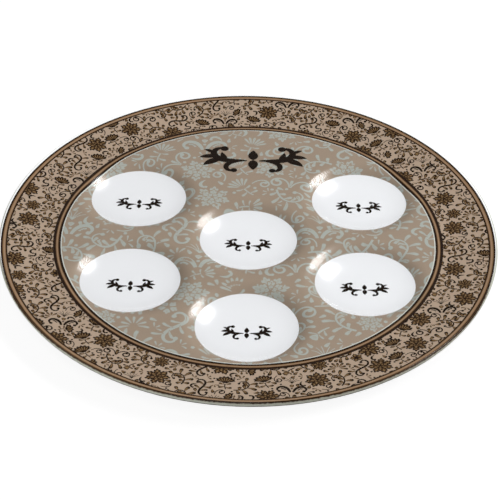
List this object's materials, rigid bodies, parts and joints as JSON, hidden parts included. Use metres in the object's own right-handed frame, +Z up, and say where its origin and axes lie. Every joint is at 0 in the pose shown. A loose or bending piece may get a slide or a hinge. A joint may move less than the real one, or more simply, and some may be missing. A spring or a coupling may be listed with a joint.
{
  "type": "seder plate",
  "caption": "Round slumped-glass seder plate with a raised floral rim and white round wells for the symbolic foods, printed under the glass.",
  "frame": {"origin": "centre of the middle foot's underside, on the plate's axis at table level", "axes": "+Z up out of the dish; the diner and the camera are on the -Y side, and the ornament above the wells is on the +Y side"},
  "size_m": [0.4, 0.4, 0.0234],
  "materials": {
    "clear_glass": "polished, slightly green at the edge",
    "rim_ink": "printed film, brown flowers on taupe",
    "border_ink": "printed film, tan line between dark lines",
    "centre_ink": "printed film, beige with pale damask",
    "white_ink": "printed film, white",
    "back_coat": "sealing coat, satin",
    "clear_rubber": "clear soft bumper"
  },
  "bodies": {
    "root": {"glass_plate": "clear_glass", "rim_print": "rim_ink", "outer_border": "border_ink", "inner_border": "border_ink", "centre_print": "centre_ink", "back_coat": "back_coat", "bitter_herb_disc": "white_ink", "shank_bone_disc": "white_ink", "egg_disc": "white_ink", "parsley_disc": "white_ink", "lettuce_disc": "white_ink", "haroset_disc": "white_ink", "bitter_herb_foot": "clear_rubber", "shank_bone_foot": "clear_rubber", "egg_foot": "clear_rubber", "parsley_foot": "clear_rubber", "lettuce_foot": "clear_rubber", "haroset_foot": "clear_rubber"}
  },
  "joints": []
}
